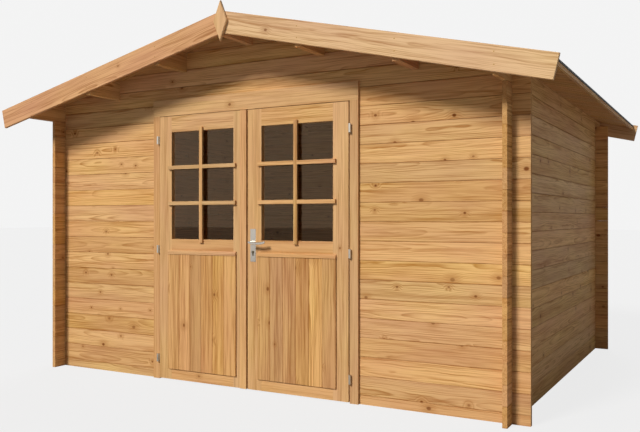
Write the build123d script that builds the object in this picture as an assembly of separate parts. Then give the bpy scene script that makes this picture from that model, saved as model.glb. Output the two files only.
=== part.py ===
from build123d import *
import math
import os

os.makedirs("parts", exist_ok=True)

# Log cabin shed with a half-glazed double door. Millimetres, +Z up, the door towards -Y.
# The origin is on the ground, under the middle of the roof.

# Logs
LOG_HEIGHT = 120.0
LOG_THICKNESS = 28.0
LOG_GAP = 0.4
LOG_CHAMFER = 4.0
TONGUE_WIDTH = 9.0
TONGUE_HEIGHT = 8.0
TONGUE_CLEARANCE = 0.5
TONGUE_SETBACK = 2.0
NOTCH_CLEARANCE = 0.4
COURSES = 16

# Cabin, over the outer faces of its walls
CABIN_WIDTH = 3570.0
CABIN_DEPTH = 2868.0
LOG_END = 104.0
PLATE_HEIGHT = 125.6

# Roof
ROOF_SLOPE = 13.23
FRONT_OVERHANG = 295.0
REAR_OVERHANG = 233.0
EAVE_OVERHANG = 285.0
FELT_THICKNESS = 3.0
FELT_BELOW_BARGE = 6.0
FELT_TURN_DOWN = 12.0
DECK_THICKNESS = 18.0
EAVE_STRIP_THICKNESS = 18.0
EAVE_STRIP_HEIGHT = 36.0
BARGE_WIDTH = 140.0
BARGE_THICKNESS = 20.0
BARGE_PAST_EAVE = 38.0
BARGE_CHAMFER = 2.0
FINIAL_WIDTH = 107.0
FINIAL_HEIGHT = 263.0
FINIAL_THICKNESS = 20.0
FINIAL_TIP_ABOVE_APEX = 63.0
FINIAL_CHAMFER = 4.0
PURLIN_WIDTH = 45.0
PURLIN_HEIGHT = 130.0
UPPER_PURLIN_X = 560.0
LOWER_PURLIN_X = 1201.0

# Floor
JOIST_SIZE = 45.0
JOIST_COUNT = 6
FLOOR_THICKNESS = 18.0
FLOOR_GAP = 6.0

# Door frame
DOOR_WIDTH = 1541.0
HEAD_FACE = 82.0
JAMB_FACE = 59.5
JAMB_LINING = 29.5
CASING_PROUD = 20.0
CASING_CHAMFER = 2.0
INNER_CASING = 20.0
STOP_WIDTH = 20.5
FRAME_SETTLING_GAP = 4.0
LOG_END_GAP = 3.0
CAP_HEIGHT = 40.0
CAP_WEATHERING = 5.0
SILL_ABOVE_FLOOR = 4.0

# Door leaves
LEAF_THICKNESS = 40.0
LEAF_PROUD = 25.0
LEAF_EDGE_GAP = 5.0
LEAF_MEETING_GAP = 8.0
LEAF_BOTTOM_GAP = 8.0
STILE_WIDTH = 110.0
TOP_RAIL_HEIGHT = 115.0
MID_RAIL_BOTTOM = 880.0
MID_RAIL_HEIGHT = 132.0
BOTTOM_RAIL_HEIGHT = 100.0
TENON_LENGTH = 30.0
TENON_THICKNESS = 13.0
TENON_SHOULDER = 20.0
TENON_CLEARANCE = 0.3
PANEL_LIP = 25.0
PANEL_FACE_THICKNESS = 10.0
PANEL_CORE_THICKNESS = 18.0
PANEL_FIT = 0.5
PANEL_CHAMFER = 2.0
GLASS_THICKNESS = 4.0
GLASS_RECESS = 16.0
GLASS_BITE = 9.0
GLASS_CLEARANCE = 0.5
DRIP_HEIGHT = 28.0
DRIP_PROUD = 15.0
DRIP_WEATHERING = 7.0
COVER_STRIP_WIDTH = 52.0
COVER_STRIP_PROUD = 9.0
COVER_STRIP_CHAMFER = 2.0

# Hinges
HINGE_ABOVE_LEAF_BOTTOM = 145.0
HINGE_BELOW_LEAF_TOP = 168.0
HINGE_OUT = 12.5
BARREL_RADIUS = 8.0
BARREL_LENGTH = 56.0
BARREL_GAP = 0.6
PIN_RADIUS = 4.0
PIN_CLEARANCE = 0.06
PIN_REACH = 18.0
PIN_END_ROOM = 2.0
HINGE_PLATE_THICKNESS = 2.0
HINGE_PLATE_DEPTH = 30.0
HINGE_WEB_WIDTH = 8.0

# Lock and lever
LOCK_BACKSET = 44.0
LEVER_Z = 1000.0
LEVER_LENGTH = 118.0
LEVER_REACH = 46.0
LEVER_HEIGHT = 17.0
LEVER_THICKNESS = 11.0
LEVER_BOW = 7.0
LEVER_CHAMFER = 2.5
NECK_RADIUS = 7.5
SPINDLE_RADIUS = 5.0
SPINDLE_CLEARANCE = 0.6
LOCK_PLATE_WIDTH = 44.0
LOCK_PLATE_HEIGHT = 222.0
LOCK_PLATE_THICKNESS = 3.0
LOCK_PLATE_CHAMFER = 1.2
LOCK_PLATE_ABOVE_LEVER = 90.0

# Roof lines and walls, from the sizes above
SLOPE = math.tan(math.radians(ROOF_SLOPE))
COS_SLOPE = math.cos(math.radians(ROOF_SLOPE))
SIN_SLOPE = math.sin(math.radians(ROOF_SLOPE))
HALF_WIDTH = CABIN_WIDTH / 2
INNER_WIDTH = HALF_WIDTH - LOG_THICKNESS
TOTAL_DEPTH = CABIN_DEPTH + FRONT_OVERHANG + REAR_OVERHANG + 2 * BARGE_THICKNESS + 2 * FINIAL_THICKNESS
FRONT = -TOTAL_DEPTH / 2 + FINIAL_THICKNESS + BARGE_THICKNESS + FRONT_OVERHANG
BACK = FRONT + CABIN_DEPTH
INSIDE_FRONT = FRONT + LOG_THICKNESS
INSIDE_BACK = BACK - LOG_THICKNESS
ROOF_FRONT = FRONT - FRONT_OVERHANG
ROOF_BACK = BACK + REAR_OVERHANG
EAVE_X = HALF_WIDTH + EAVE_OVERHANG
QUARTER = LOG_HEIGHT / 4
PLATE_BOTTOM = COURSES * LOG_HEIGHT
WALL_TOP = PLATE_BOTTOM + LOG_HEIGHT / 2
DECK_TOP_DROP = (FELT_BELOW_BARGE + FELT_THICKNESS) / COS_SLOPE
DECK_UNDER_DROP = DECK_TOP_DROP + DECK_THICKNESS / COS_SLOPE
APEX_HEIGHT = PLATE_BOTTOM + PLATE_HEIGHT + HALF_WIDTH * SLOPE + DECK_UNDER_DROP
FLOOR_TOP = JOIST_SIZE + FLOOR_THICKNESS
FAR = 10000.0

# Door frame and leaves, from the sizes above
DOOR_HALF = DOOR_WIDTH / 2
LINING_HALF = DOOR_HALF + JAMB_LINING
OPENING_HALF = LINING_HALF + LOG_END_GAP
CASING_HALF = DOOR_HALF + JAMB_FACE
CASING_FRONT = FRONT - CASING_PROUD
STOP_HALF = DOOR_HALF - STOP_WIDTH
FRAME_BACK = INSIDE_FRONT + INNER_CASING
HEAD_BOTTOM = WALL_TOP - HEAD_FACE
CAP_TOP = WALL_TOP + CAP_HEIGHT
LEAF_TOP = HEAD_BOTTOM - LEAF_EDGE_GAP
LEAF_FRONT = FRONT - LEAF_PROUD
LEAF_BACK = LEAF_FRONT + LEAF_THICKNESS
STOP_FRONT = LEAF_BACK + LEAF_EDGE_GAP
LEAF_INNER = LEAF_MEETING_GAP / 2
LEAF_OUTER = DOOR_HALF - LEAF_EDGE_GAP
LIGHT_INNER = LEAF_INNER + STILE_WIDTH
LIGHT_OUTER = LEAF_OUTER - STILE_WIDTH
LIGHT_TOP = LEAF_TOP - TOP_RAIL_HEIGHT
MID_RAIL_TOP = MID_RAIL_BOTTOM + MID_RAIL_HEIGHT
PANEL_BOTTOM = LEAF_BOTTOM_GAP + BOTTOM_RAIL_HEIGHT
HINGE_X = LEAF_OUTER + HINGE_OUT
HINGE_Y = LEAF_FRONT - BARREL_RADIUS
HINGE_LOW = LEAF_BOTTOM_GAP + HINGE_ABOVE_LEAF_BOTTOM
HINGE_HIGH = LEAF_TOP - HINGE_BELOW_LEAF_TOP
LEVER_X = LEAF_INNER + LOCK_BACKSET


def roof_height(x, drop=0.0):
    """Height of the barge boards' top edge over x, less a drop."""
    return APEX_HEIGHT - drop - abs(x) * SLOPE


def box(x0, x1, y0, y1, z0, z1):
    """A plain block between two corners."""
    middle = ((x0 + x1) / 2, (y0 + y1) / 2, (z0 + z1) / 2)
    return Box(x1 - x0, y1 - y0, z1 - z0).moved(Location(middle))


def along_x(points, x0, x1):
    """An outline of (y, z) points, extruded from x0 to x1."""
    plane = Plane(origin=(x0, 0, 0), x_dir=(0, 1, 0), z_dir=(1, 0, 0))
    return extrude(plane * make_face(Polyline(*points, close=True)), x1 - x0)


def along_y(points, y0, y1):
    """An outline of (x, z) points, extruded from y0 to y1."""
    plane = Plane(origin=(0, y1, 0), x_dir=(1, 0, 0), z_dir=(0, -1, 0))
    return extrude(plane * make_face(Polyline(*points, close=True)), y1 - y0)


def along_z(points, z0, z1):
    """An outline of (x, y) points, extruded from z0 to z1."""
    plane = Plane(origin=(0, 0, z0), x_dir=(1, 0, 0), z_dir=(0, 0, 1))
    return extrude(plane * make_face(Polyline(*points, close=True)), z1 - z0)


def rod_along_y(radius, y0, y1, x, z):
    """A round bar across the door leaf."""
    return Cylinder(radius, y1 - y0, rotation=(90, 0, 0)).moved(Location((x, (y0 + y1) / 2, z)))


def rod_along_z(radius, z0, z1):
    """A round bar on the hinge axis of the right leaf."""
    return Cylinder(radius, z1 - z0).moved(Location((HINGE_X, HINGE_Y, (z0 + z1) / 2)))


def sided(side, shape):
    """The shape as drawn on the right, or mirrored to the left."""
    return shape if side > 0 else mirror(shape, Plane.YZ)


def write(node, *shapes):
    """Write the solids of one node to its STEP file."""
    solids = [solid for shape in shapes for solid in shape.solids()]
    export_step(solids[0] if len(solids) == 1 else Compound(solids), f"parts/{node}.step")


def log_outline(centre, z0, z1):
    """Section of a log with bevelled upper edges, which leave a groove at every joint."""
    half = LOG_THICKNESS / 2
    top = z1 - LOG_GAP
    flat = half - LOG_CHAMFER
    points = [(-half, z0), (half, z0)]
    points += [(half, top - LOG_CHAMFER), (flat, top), (-flat, top), (-half, top - LOG_CHAMFER)]
    return [(centre + across, z) for across, z in points]


def side_log(centre, z0, z1, y0, y1, tongue=True, groove=True):
    """A log along Y, tongued and grooved between the front and back walls."""
    start = INSIDE_FRONT + NOTCH_CLEARANCE
    end = INSIDE_BACK - NOTCH_CLEARANCE
    log = along_y(log_outline(centre, z0, z1), y0, y1)
    if tongue:
        half = TONGUE_WIDTH / 2
        log = log + box(centre - half, centre + half, start + TONGUE_SETBACK, end - TONGUE_SETBACK,
                        z1 - LOG_GAP, z1 + TONGUE_HEIGHT - LOG_GAP)
    if groove:
        half = TONGUE_WIDTH / 2 + TONGUE_CLEARANCE
        log = log - box(centre - half, centre + half, start, end,
                        z0 - TONGUE_HEIGHT, z0 + TONGUE_HEIGHT + TONGUE_CLEARANCE)
    return log


def cross_log(centre, z0, z1, x0, x1, tongue=True, groove=True):
    """A log along X, tongued and grooved between the side walls."""
    start = max(x0, NOTCH_CLEARANCE - INNER_WIDTH)
    end = min(x1, INNER_WIDTH - NOTCH_CLEARANCE)
    log = along_x(log_outline(centre, z0, z1), x0, x1)
    if tongue:
        half = TONGUE_WIDTH / 2
        log = log + box(start + TONGUE_SETBACK, end - TONGUE_SETBACK, centre - half, centre + half,
                        z1 - LOG_GAP, z1 + TONGUE_HEIGHT - LOG_GAP)
    if groove:
        half = TONGUE_WIDTH / 2 + TONGUE_CLEARANCE
        log = log - box(start, end, centre - half, centre + half,
                        z0 - TONGUE_HEIGHT, z0 + TONGUE_HEIGHT + TONGUE_CLEARANCE)
    return log


def notch_outline(centre, z0):
    """The upper half of the log that a notch sits on, with its clearance. z0 is the notched log's underside."""
    half = LOG_THICKNESS / 2 + NOTCH_CLEARANCE
    top = z0 + LOG_HEIGHT / 2
    flat = half - LOG_CHAMFER
    points = [(-half, z0 - LOG_HEIGHT), (half, z0 - LOG_HEIGHT)]
    points += [(half, top - LOG_CHAMFER), (flat, top), (-flat, top), (-half, top - LOG_CHAMFER)]
    return [(centre + across, z) for across, z in points]


def notch_side_log(log, centre, z0):
    """Cut a side log half way through from below, where it sits over the front and back walls."""
    for crossing in (FRONT + LOG_THICKNESS / 2, BACK - LOG_THICKNESS / 2):
        log = log - along_x(notch_outline(crossing, z0), centre - LOG_THICKNESS, centre + LOG_THICKNESS)
    return log


def notch_cross_log(log, centre, z0):
    """Cut a front or back log half way through from below, where it sits over the side walls."""
    for side in (-1, 1):
        crossing = side * (HALF_WIDTH - LOG_THICKNESS / 2)
        log = log - along_y(notch_outline(crossing, z0), centre - LOG_THICKNESS, centre + LOG_THICKNESS)
    return log


def side_wall(side):
    """Full courses from the ground up, each notched from below over the logs that cross it."""
    centre = side * (HALF_WIDTH - LOG_THICKNESS / 2)
    courses = []
    for groove in (False, True):
        log = side_log(centre, 0, LOG_HEIGHT, FRONT - LOG_END, BACK + LOG_END, groove=groove)
        courses.append(notch_side_log(log, centre, 0))
    lowest, log = courses
    return [lowest] + [log.moved(Location((0, 0, course * LOG_HEIGHT))) for course in range(1, COURSES)]


def cross_wall(centre, x0, x1):
    """A half log and then full courses, so that these logs cross the side walls half a course up."""
    half = LOG_HEIGHT / 2
    start = cross_log(centre, 0, half, x0, x1, groove=False)
    log = notch_cross_log(cross_log(centre, half, half + LOG_HEIGHT, x0, x1), centre, half)
    return [start] + [log.moved(Location((0, 0, course * LOG_HEIGHT))) for course in range(COURSES)]


def above_roof_boards():
    """Everything over the underside of the roof boards."""
    points = [(x, roof_height(x, DECK_UNDER_DROP)) for x in (-FAR, 0, FAR)]
    return along_y(points + [(FAR, FAR), (-FAR, FAR)], -FAR, FAR)


def purlin_bottom(x):
    """Height of the lower edge of the purlin over x."""
    return roof_height(x, DECK_UNDER_DROP) - PURLIN_HEIGHT


def gable(centre):
    """Logs over the wall top, between the side walls, cut to the roof and round the purlins."""
    inner = INNER_WIDTH - NOTCH_CLEARANCE
    half = PURLIN_WIDTH / 2 + NOTCH_CLEARANCE
    apex = roof_height(0, DECK_UNDER_DROP)
    logs = []
    bottom = WALL_TOP
    while bottom < apex - QUARTER:
        last = bottom + LOG_HEIGHT > apex - QUARTER
        top = apex + LOG_HEIGHT if last else bottom + LOG_HEIGHT
        log = cross_log(centre, bottom, top, -inner, inner, tongue=not last) - above_roof_boards()
        for x in (-LOWER_PURLIN_X, -UPPER_PURLIN_X, 0, UPPER_PURLIN_X, LOWER_PURLIN_X):
            log = log - box(x - half, x + half, -FAR, FAR, purlin_bottom(x) - NOTCH_CLEARANCE, FAR)
        logs.append(log)
        bottom = top
    return logs


def wall_plate(side):
    """The top log of a side wall, planed to the roof, which runs on to both barge boards."""
    centre = side * (HALF_WIDTH - LOG_THICKNESS / 2)
    log = side_log(centre, PLATE_BOTTOM, APEX_HEIGHT, ROOF_FRONT, ROOF_BACK, tongue=False)
    return notch_side_log(log, centre, PLATE_BOTTOM) - above_roof_boards()


def purlin(x):
    """A beam on edge from barge board to barge board, planed to the roof on top."""
    half = PURLIN_WIDTH / 2
    return box(x - half, x + half, ROOF_FRONT, ROOF_BACK, purlin_bottom(x), FAR) - above_roof_boards()


def roof_boards(side):
    """The boarded deck of one roof side, plumb cut at the ridge and at the eave strip."""
    edge = EAVE_X - EAVE_STRIP_THICKNESS
    points = [(0, roof_height(0, DECK_UNDER_DROP)), (edge, roof_height(edge, DECK_UNDER_DROP))]
    points += [(edge, roof_height(edge, DECK_TOP_DROP)), (0, roof_height(0, DECK_TOP_DROP))]
    return sided(side, along_y(points, ROOF_FRONT, ROOF_BACK))


def roof_felt(side):
    """The felt of one roof side, turned down over the eave strip."""
    over = FELT_BELOW_BARGE / COS_SLOPE
    edge = EAVE_X + FELT_THICKNESS
    turn_down = roof_height(EAVE_X, DECK_TOP_DROP) - FELT_TURN_DOWN
    points = [(0, roof_height(0, DECK_TOP_DROP)), (EAVE_X, roof_height(EAVE_X, DECK_TOP_DROP))]
    points += [(EAVE_X, turn_down), (edge, turn_down)]
    points += [(edge, roof_height(edge, over)), (0, roof_height(0, over))]
    return sided(side, along_y(points, ROOF_FRONT, ROOF_BACK))


def eave_strip(side):
    """A lath nailed to the ends of the roof boards."""
    inner = EAVE_X - EAVE_STRIP_THICKNESS
    bottom = roof_height(EAVE_X, DECK_TOP_DROP) - EAVE_STRIP_HEIGHT
    points = [(inner, bottom), (EAVE_X, bottom)]
    points += [(x, roof_height(x, DECK_TOP_DROP)) for x in (EAVE_X, inner)]
    return sided(side, along_y(points, ROOF_FRONT, ROOF_BACK))


def barge_board(side, y0, outward):
    """A board along one roof edge: plumb cut at the ridge, square cut at the eave."""
    end_x = EAVE_X + BARGE_PAST_EAVE
    low_x = end_x - BARGE_WIDTH * SIN_SLOPE
    depth = BARGE_WIDTH / COS_SLOPE
    points = [(0, roof_height(0)), (0, roof_height(0, depth))]
    points += [(low_x, roof_height(low_x, depth)), (end_x, roof_height(end_x))]
    board = along_y(points, y0, y0 + BARGE_THICKNESS)
    face = board.faces().sort_by(Axis.Y)[-1 if outward > 0 else 0]
    arrises = [edge for edge in face.edges() if edge.center().X > BARGE_CHAMFER]
    return sided(side, chamfer(arrises, BARGE_CHAMFER))


def finial(y0, outward):
    """A bevelled diamond over the joint of two barge boards."""
    top = APEX_HEIGHT + FINIAL_TIP_ABOVE_APEX
    middle = top - FINIAL_HEIGHT / 2
    half = FINIAL_WIDTH / 2
    points = [(0, top), (-half, middle), (0, top - FINIAL_HEIGHT), (half, middle)]
    diamond = along_y(points, y0, y0 + FINIAL_THICKNESS)
    face = diamond.faces().sort_by(Axis.Y)[-1 if outward > 0 else 0]
    return chamfer(face.edges(), FINIAL_CHAMFER)


def floor_joists():
    """Bearers on the ground, from side wall to side wall."""
    half = INNER_WIDTH - FLOOR_GAP
    first = FRAME_BACK + FLOOR_GAP
    last = INSIDE_BACK - FLOOR_GAP - JOIST_SIZE
    pitch = (last - first) / (JOIST_COUNT - 1)
    starts = [first + number * pitch for number in range(JOIST_COUNT)]
    return [box(-half, half, y, y + JOIST_SIZE, 0, JOIST_SIZE) for y in starts]


def floor_boards():
    """The floor, laid on the joists."""
    half = INNER_WIDTH - FLOOR_GAP
    return box(-half, half, FRAME_BACK + FLOOR_GAP, INSIDE_BACK - FLOOR_GAP, JOIST_SIZE, FLOOR_TOP)


def door_jamb(side):
    """An upright of the frame: casings that hold the log ends between them, and a stop for the leaf."""
    bevel = CASING_CHAMFER
    points = [(DOOR_HALF, CASING_FRONT + bevel), (DOOR_HALF + bevel, CASING_FRONT)]
    points += [(CASING_HALF - bevel, CASING_FRONT), (CASING_HALF, CASING_FRONT + bevel)]
    points += [(CASING_HALF, FRONT), (LINING_HALF, FRONT), (LINING_HALF, INSIDE_FRONT)]
    points += [(CASING_HALF, INSIDE_FRONT), (CASING_HALF, FRAME_BACK), (STOP_HALF, FRAME_BACK)]
    points += [(STOP_HALF, STOP_FRONT), (DOOR_HALF, STOP_FRONT)]
    return sided(side, along_z(points, 0, HEAD_BOTTOM))


def door_head():
    """The top of the frame: it lies on both jambs, under the first gable log."""
    lining_top = WALL_TOP - FRAME_SETTLING_GAP
    stop_bottom = HEAD_BOTTOM - STOP_WIDTH
    points = [(CASING_FRONT, HEAD_BOTTOM), (CASING_FRONT, WALL_TOP), (FRONT, WALL_TOP), (FRONT, lining_top)]
    points += [(INSIDE_FRONT, lining_top), (INSIDE_FRONT, CAP_TOP), (FRAME_BACK, CAP_TOP)]
    points += [(FRAME_BACK, stop_bottom), (STOP_FRONT, stop_bottom), (STOP_FRONT, HEAD_BOTTOM)]
    head = along_x(points, -CASING_HALF, CASING_HALF)
    for side in (-1, 1):
        log_room = box(LINING_HALF, FAR, FRONT, INSIDE_FRONT, 0, FAR)
        jamb_room = box(STOP_HALF, FAR, STOP_FRONT, FRAME_BACK, 0, HEAD_BOTTOM)
        head = head - sided(side, log_room) - sided(side, jamb_room)
    return head


def door_cap():
    """A weathered lath over the head, on the face of the first gable log."""
    points = [(CASING_FRONT, WALL_TOP), (CASING_FRONT, CAP_TOP - CAP_WEATHERING)]
    return along_x(points + [(FRONT, CAP_TOP), (FRONT, WALL_TOP)], -CASING_HALF, CASING_HALF)


def door_sill():
    """A board on edge between the jambs, for both leaves to close against."""
    return box(-STOP_HALF, STOP_HALF, STOP_FRONT, FRAME_BACK, 0, FLOOR_TOP + SILL_ABOVE_FLOOR)


def tenon(x0, x1, z0, z1, clearance=0.0):
    """The tongue on the end of a rail, or with a clearance its mortise."""
    middle = (LEAF_FRONT + LEAF_BACK) / 2
    half = TENON_THICKNESS / 2 + clearance
    shoulder = TENON_SHOULDER - clearance
    return box(x0, x1, middle - half, middle + half, z0 + shoulder, z1 - shoulder)


def rail_levels():
    """Bottom and top of each rail of a leaf, by name."""
    return {"top_rail": (LIGHT_TOP, LEAF_TOP), "mid_rail": (MID_RAIL_BOTTOM, MID_RAIL_TOP),
            "bottom_rail": (LEAF_BOTTOM_GAP, PANEL_BOTTOM)}


def leaf_rail(z0, z1):
    """A rail between the stiles, with a tenon at each end."""
    rail = box(LIGHT_INNER, LIGHT_OUTER, LEAF_FRONT, LEAF_BACK, z0, z1)
    rail = rail + tenon(LIGHT_INNER - TENON_LENGTH, LIGHT_OUTER + TENON_LENGTH, z0, z1)
    return rail - glass_pane(GLASS_CLEARANCE)


def leaf_stile(x0, x1):
    """An upright of the leaf, mortised for the rails and grooved for the glass."""
    stile = box(x0, x1, LEAF_FRONT, LEAF_BACK, LEAF_BOTTOM_GAP, LEAF_TOP)
    reach = TENON_LENGTH + TENON_CLEARANCE
    for z0, z1 in rail_levels().values():
        stile = stile - tenon(LIGHT_INNER - reach, LIGHT_OUTER + reach, z0, z1, TENON_CLEARANCE)
    return stile - glass_pane(GLASS_CLEARANCE)


def glass_pane(room=0.0):
    """The pane, which sits in a groove in the stiles and rails, or the groove itself."""
    bite = GLASS_BITE + room
    y0 = LEAF_FRONT + GLASS_RECESS
    return box(LIGHT_INNER - bite, LIGHT_OUTER + bite, y0 - room, y0 + GLASS_THICKNESS + room,
               MID_RAIL_TOP - bite, LIGHT_TOP + bite)


def leaf_panel():
    """Lower boarding of a leaf: its core fills the frame and its face laps over it all round."""
    fit = PANEL_FIT
    core = box(LIGHT_INNER + fit, LIGHT_OUTER - fit, LEAF_FRONT, LEAF_FRONT + PANEL_CORE_THICKNESS,
               PANEL_BOTTOM + fit, MID_RAIL_BOTTOM - fit)
    face = box(LIGHT_INNER - PANEL_LIP, LIGHT_OUTER + PANEL_LIP,
               LEAF_FRONT - PANEL_FACE_THICKNESS, LEAF_FRONT,
               PANEL_BOTTOM - PANEL_LIP, MID_RAIL_BOTTOM + PANEL_LIP)
    face = chamfer(face.faces().sort_by(Axis.Y)[0].edges(), PANEL_CHAMFER)
    return core + face


def drip_strip():
    """A weathered strip over the panel's top edge."""
    low = MID_RAIL_BOTTOM + PANEL_LIP
    high = low + DRIP_HEIGHT
    face = LEAF_FRONT - DRIP_PROUD
    points = [(LEAF_FRONT, low), (face, low), (face, high - DRIP_WEATHERING), (LEAF_FRONT, high)]
    return along_x(points, LIGHT_INNER - PANEL_LIP, LIGHT_OUTER + PANEL_LIP)


def cover_strip():
    """A strip down the edge of the left leaf where the two leaves meet."""
    face = LEAF_FRONT - COVER_STRIP_PROUD
    bevel = COVER_STRIP_CHAMFER
    inner, outer = LEAF_INNER, LEAF_INNER + COVER_STRIP_WIDTH
    points = [(inner, LEAF_FRONT), (inner, face + bevel), (inner + bevel, face), (outer - bevel, face)]
    points += [(outer, face + bevel), (outer, LEAF_FRONT)]
    return sided(-1, along_z(points, LEAF_BOTTOM_GAP, LEAF_TOP))


def hinge_centres():
    """Heights of the three hinges of a leaf."""
    return (HINGE_LOW, (HINGE_LOW + HINGE_HIGH) / 2, HINGE_HIGH)


def hinge_plate(x0, y0, low, high):
    """A plate screwed to an edge of the door gap, with its front edge at y0."""
    return box(x0, x0 + HINGE_PLATE_THICKNESS, y0, y0 + HINGE_PLATE_DEPTH, low, high)


def moving_hinge(z):
    """Upper half of a hinge: a barrel bored for the pin, and a cranked plate on the leaf's edge."""
    low, high = z + BARREL_GAP / 2, z + BARREL_LENGTH / 2
    front = LEAF_FRONT - HINGE_PLATE_THICKNESS
    crank = box(LEAF_OUTER, HINGE_X, front, LEAF_FRONT, low, high)
    half = rod_along_z(BARREL_RADIUS, low, high) + crank + hinge_plate(LEAF_OUTER, front, low, high)
    return half - rod_along_z(PIN_RADIUS + PIN_CLEARANCE, z, z + PIN_REACH + PIN_END_ROOM)


def fixed_hinge(z):
    """Lower half of a hinge: a barrel with the pin, and a cranked plate on the jamb."""
    low, high = z - BARREL_LENGTH / 2, z - BARREL_GAP / 2
    front = CASING_FRONT - HINGE_PLATE_THICKNESS
    edge = DOOR_HALF - HINGE_PLATE_THICKNESS
    half = HINGE_WEB_WIDTH / 2
    web = box(HINGE_X - half, HINGE_X + half, HINGE_Y, CASING_FRONT, low, high)
    crank = box(edge, HINGE_X, front, CASING_FRONT, low, high)
    return (rod_along_z(BARREL_RADIUS, low, high) + rod_along_z(PIN_RADIUS, low, z + PIN_REACH)
            + web + crank + hinge_plate(edge, front, low, high))


def lever_grip(y0):
    """A bowed grip with round ends, from the spindle towards the hinges."""
    plane = Plane(origin=(LEVER_X, y0 + LEVER_THICKNESS, LEVER_Z), x_dir=(1, 0, 0), z_dir=(0, -1, 0))
    bow = ThreePointArc((0, 0), (LEVER_LENGTH / 2, -LEVER_BOW), (LEVER_LENGTH, 0))
    grip = extrude(plane * SlotArc(bow, LEVER_HEIGHT), LEVER_THICKNESS)
    outer = grip.faces().sort_by(Axis.Y)[0 if y0 < LEAF_FRONT else -1]
    return chamfer(outer.edges(), LEVER_CHAMFER)


def door_lever():
    """Two grips and their necks on one spindle through the leaf."""
    plate_room = LOCK_PLATE_THICKNESS + SPINDLE_CLEARANCE
    outer = LEAF_FRONT - LEVER_REACH
    inner = LEAF_BACK + LEVER_REACH
    handle = rod_along_y(SPINDLE_RADIUS, outer, inner, LEVER_X, LEVER_Z)
    handle = handle + rod_along_y(NECK_RADIUS, outer, LEAF_FRONT - plate_room, LEVER_X, LEVER_Z)
    handle = handle + rod_along_y(NECK_RADIUS, LEAF_BACK + plate_room, inner, LEVER_X, LEVER_Z)
    return handle + lever_grip(outer - LEVER_THICKNESS) + lever_grip(inner)


def spindle_hole():
    """Clearance hole for the spindle."""
    radius = SPINDLE_RADIUS + SPINDLE_CLEARANCE
    return rod_along_y(radius, LEAF_FRONT - LEVER_REACH, LEAF_BACK + LEVER_REACH, LEVER_X, LEVER_Z)


def lock_plate(y0):
    """A long plate with a bevelled rim on one face of the right leaf."""
    top = LEVER_Z + LOCK_PLATE_ABOVE_LEVER
    half = LOCK_PLATE_WIDTH / 2
    plate = box(LEVER_X - half, LEVER_X + half, y0, y0 + LOCK_PLATE_THICKNESS, top - LOCK_PLATE_HEIGHT, top)
    outer = plate.faces().sort_by(Axis.Y)[0 if y0 < LEAF_FRONT else -1]
    return chamfer(outer.edges(), LOCK_PLATE_CHAMFER) - spindle_hole()


def write_leaf(name, side):
    """The pieces that both leaves have."""
    meeting_stile = leaf_stile(LEAF_INNER, LIGHT_INNER)
    if side > 0:
        meeting_stile = meeting_stile - spindle_hole()
    pieces = {"hinge_stile": leaf_stile(LIGHT_OUTER, LEAF_OUTER), "meeting_stile": meeting_stile,
              "panel": leaf_panel(), "glass": glass_pane(), "drip_strip": drip_strip()}
    for rail, (z0, z1) in rail_levels().items():
        pieces[rail] = leaf_rail(z0, z1)
    for piece, shape in pieces.items():
        write(f"{name}_{piece}", sided(side, shape))
    write(f"{name}_hinges", *[sided(side, moving_hinge(z)) for z in hinge_centres()])


SIDES = (("left", -1), ("right", 1))
FRONT_CENTRE = FRONT + LOG_THICKNESS / 2
BACK_CENTRE = BACK - LOG_THICKNESS / 2
OUTER_END = HALF_WIDTH + LOG_END

write("back_wall", *cross_wall(BACK_CENTRE, -OUTER_END, OUTER_END))
write("front_wall_left", *cross_wall(FRONT_CENTRE, -OUTER_END, -OPENING_HALF))
write("front_wall_right", *cross_wall(FRONT_CENTRE, OPENING_HALF, OUTER_END))
write("back_gable", *gable(BACK_CENTRE))
write("front_gable", *gable(FRONT_CENTRE))
write("wall_plates", wall_plate(-1), wall_plate(1))
write("ridge_purlin", purlin(0))
write("side_purlins", *[purlin(side * x) for side in (-1, 1) for x in (LOWER_PURLIN_X, UPPER_PURLIN_X)])
write("eave_strips", eave_strip(-1), eave_strip(1))
write("finials", finial(ROOF_FRONT - BARGE_THICKNESS - FINIAL_THICKNESS, -1),
      finial(ROOF_BACK + BARGE_THICKNESS, 1))
write("floor_joists", *floor_joists())
write("floor_boards", floor_boards())
write("door_head", door_head())
write("door_cap", door_cap())
write("door_sill", door_sill())
write("hinge_pins", *[sided(side, fixed_hinge(z)) for name, side in SIDES for z in hinge_centres()])

for name, side in SIDES:
    write(f"{name}_wall", *side_wall(side))
    write(f"{name}_roof_boards", roof_boards(side))
    write(f"{name}_roof_felt", roof_felt(side))
    write(f"{name}_barge_boards", barge_board(side, ROOF_FRONT - BARGE_THICKNESS, -1),
          barge_board(side, ROOF_BACK, 1))
    write(f"{name}_door_jamb", door_jamb(side))
    write_leaf(f"{name}_door", side)

write("left_door_cover_strip", cover_strip())
write("right_door_lock_plates", lock_plate(LEAF_FRONT - LOCK_PLATE_THICKNESS), lock_plate(LEAF_BACK))
write("door_lever", door_lever())
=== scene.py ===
import math

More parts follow.
